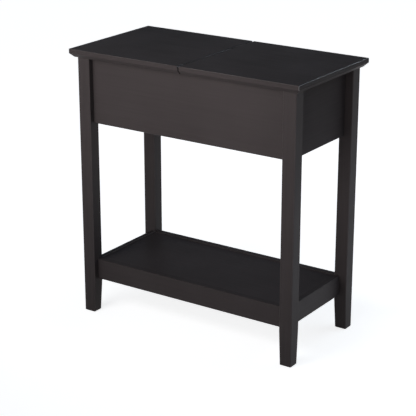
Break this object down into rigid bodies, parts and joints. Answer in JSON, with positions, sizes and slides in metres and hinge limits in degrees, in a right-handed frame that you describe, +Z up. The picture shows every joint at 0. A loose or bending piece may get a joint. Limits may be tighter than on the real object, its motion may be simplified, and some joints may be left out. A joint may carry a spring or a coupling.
{
  "type": "lift top end table",
  "caption": "Narrow end table with straight legs, an open lower shelf and a shallow storage box whose split top lifts on one half, hinged at the seam.",
  "frame": {"origin": "on the floor under the middle of the top", "axes": "+X along the table's length towards the lid, +Y to the rear, +Z up"},
  "size_m": [0.565, 0.282, 0.6],
  "materials": {
    "espresso_paint": "satin espresso paint on wood board",
    "hinge_steel": "dark bronze lacquer",
    "screw_steel": "zinc plated",
    "cam_zinc": "die-cast zinc",
    "dowel_beech": "bare beech"
  },
  "bodies": {
    "frame": {"fixed_top": "espresso_paint", "front_left_leg": "espresso_paint", "front_right_leg": "espresso_paint", "rear_left_leg": "espresso_paint", "rear_right_leg": "espresso_paint", "front_panel": "espresso_paint", "rear_panel": "espresso_paint", "left_end_panel": "espresso_paint", "right_end_panel": "espresso_paint", "box_floor": "espresso_paint", "seam_rail": "espresso_paint", "front_rail": "espresso_paint", "rear_rail": "espresso_paint", "left_end_rail": "espresso_paint", "right_end_rail": "espresso_paint", "shelf_board": "espresso_paint", "front_shelf_cleat": "espresso_paint", "rear_shelf_cleat": "espresso_paint", "front_hinge_fixed_leaf": "hinge_steel", "front_hinge_pin": "hinge_steel", "rear_hinge_fixed_leaf": "hinge_steel", "rear_hinge_pin": "hinge_steel", "hinge_fixed_screws": "screw_steel", "wood_screws": "screw_steel", "cam_locks": "cam_zinc", "cam_bolts": "screw_steel", "dowels": "dowel_beech"},
    "lid": {"lift_lid": "espresso_paint", "front_hinge_lid_leaf": "hinge_steel", "rear_hinge_lid_leaf": "hinge_steel", "hinge_lid_screws": "screw_steel"}
  },
  "joints": [
    {"name": "lid_lift", "type": "hinge", "parent": "frame", "child": "lid", "pos_m": [0, 0, 0.598], "axis": [0, -1, 0], "range_deg": [0, 105]}
  ]
}
